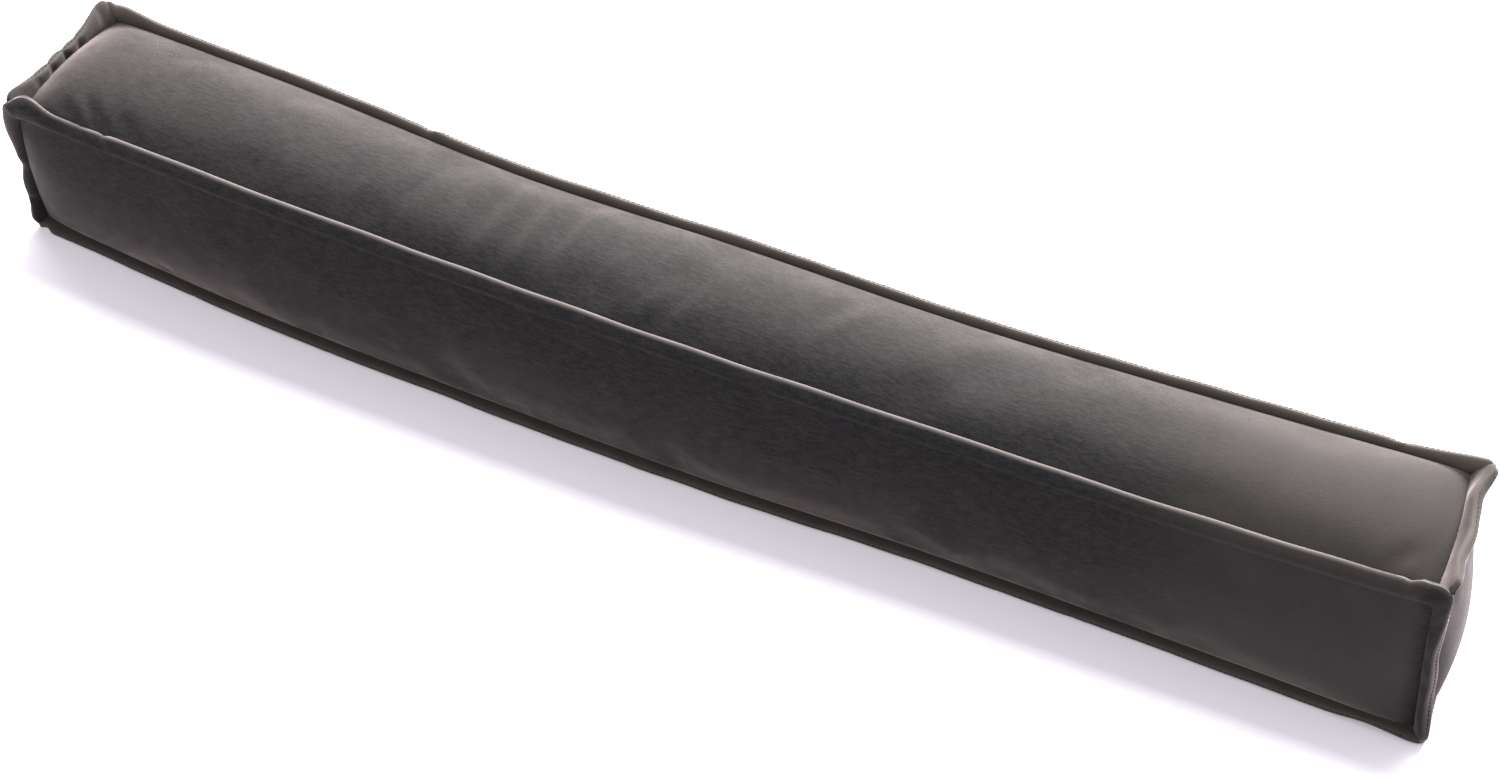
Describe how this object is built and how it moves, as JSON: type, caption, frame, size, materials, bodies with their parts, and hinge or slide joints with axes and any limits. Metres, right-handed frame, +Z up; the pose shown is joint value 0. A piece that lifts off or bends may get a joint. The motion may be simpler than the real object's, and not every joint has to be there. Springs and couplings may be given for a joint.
{
  "type": "draught excluder",
  "caption": "Long box-shaped filled velvet bolster with a puffed flange along every edge, laid against the foot of a door to keep draughts out",
  "frame": {"origin": "middle of the bounding box's floor, on the surface that the part lies on", "axes": "+X along the length towards the right end as seen from the front, +Y from the bowed front to the back, +Z up"},
  "size_m": [0.9092, 0.1274, 0.1205],
  "materials": {
    "velvet": "dark grey short-pile velvet with a soft nap sheen",
    "flange_velvet": "dark grey short-pile velvet, pressed flatter along the stitched flange"
  },
  "bodies": {
    "root": {"filled_body": "velvet", "flange_front_top": "flange_velvet", "flange_back_top": "flange_velvet", "flange_front_bottom": "flange_velvet", "flange_back_bottom": "flange_velvet", "flange_left_top": "flange_velvet", "flange_right_top": "flange_velvet", "flange_left_bottom": "flange_velvet", "flange_right_bottom": "flange_velvet", "flange_left_front": "flange_velvet", "flange_left_back": "flange_velvet", "flange_right_front": "flange_velvet", "flange_right_back": "flange_velvet"}
  },
  "joints": []
}
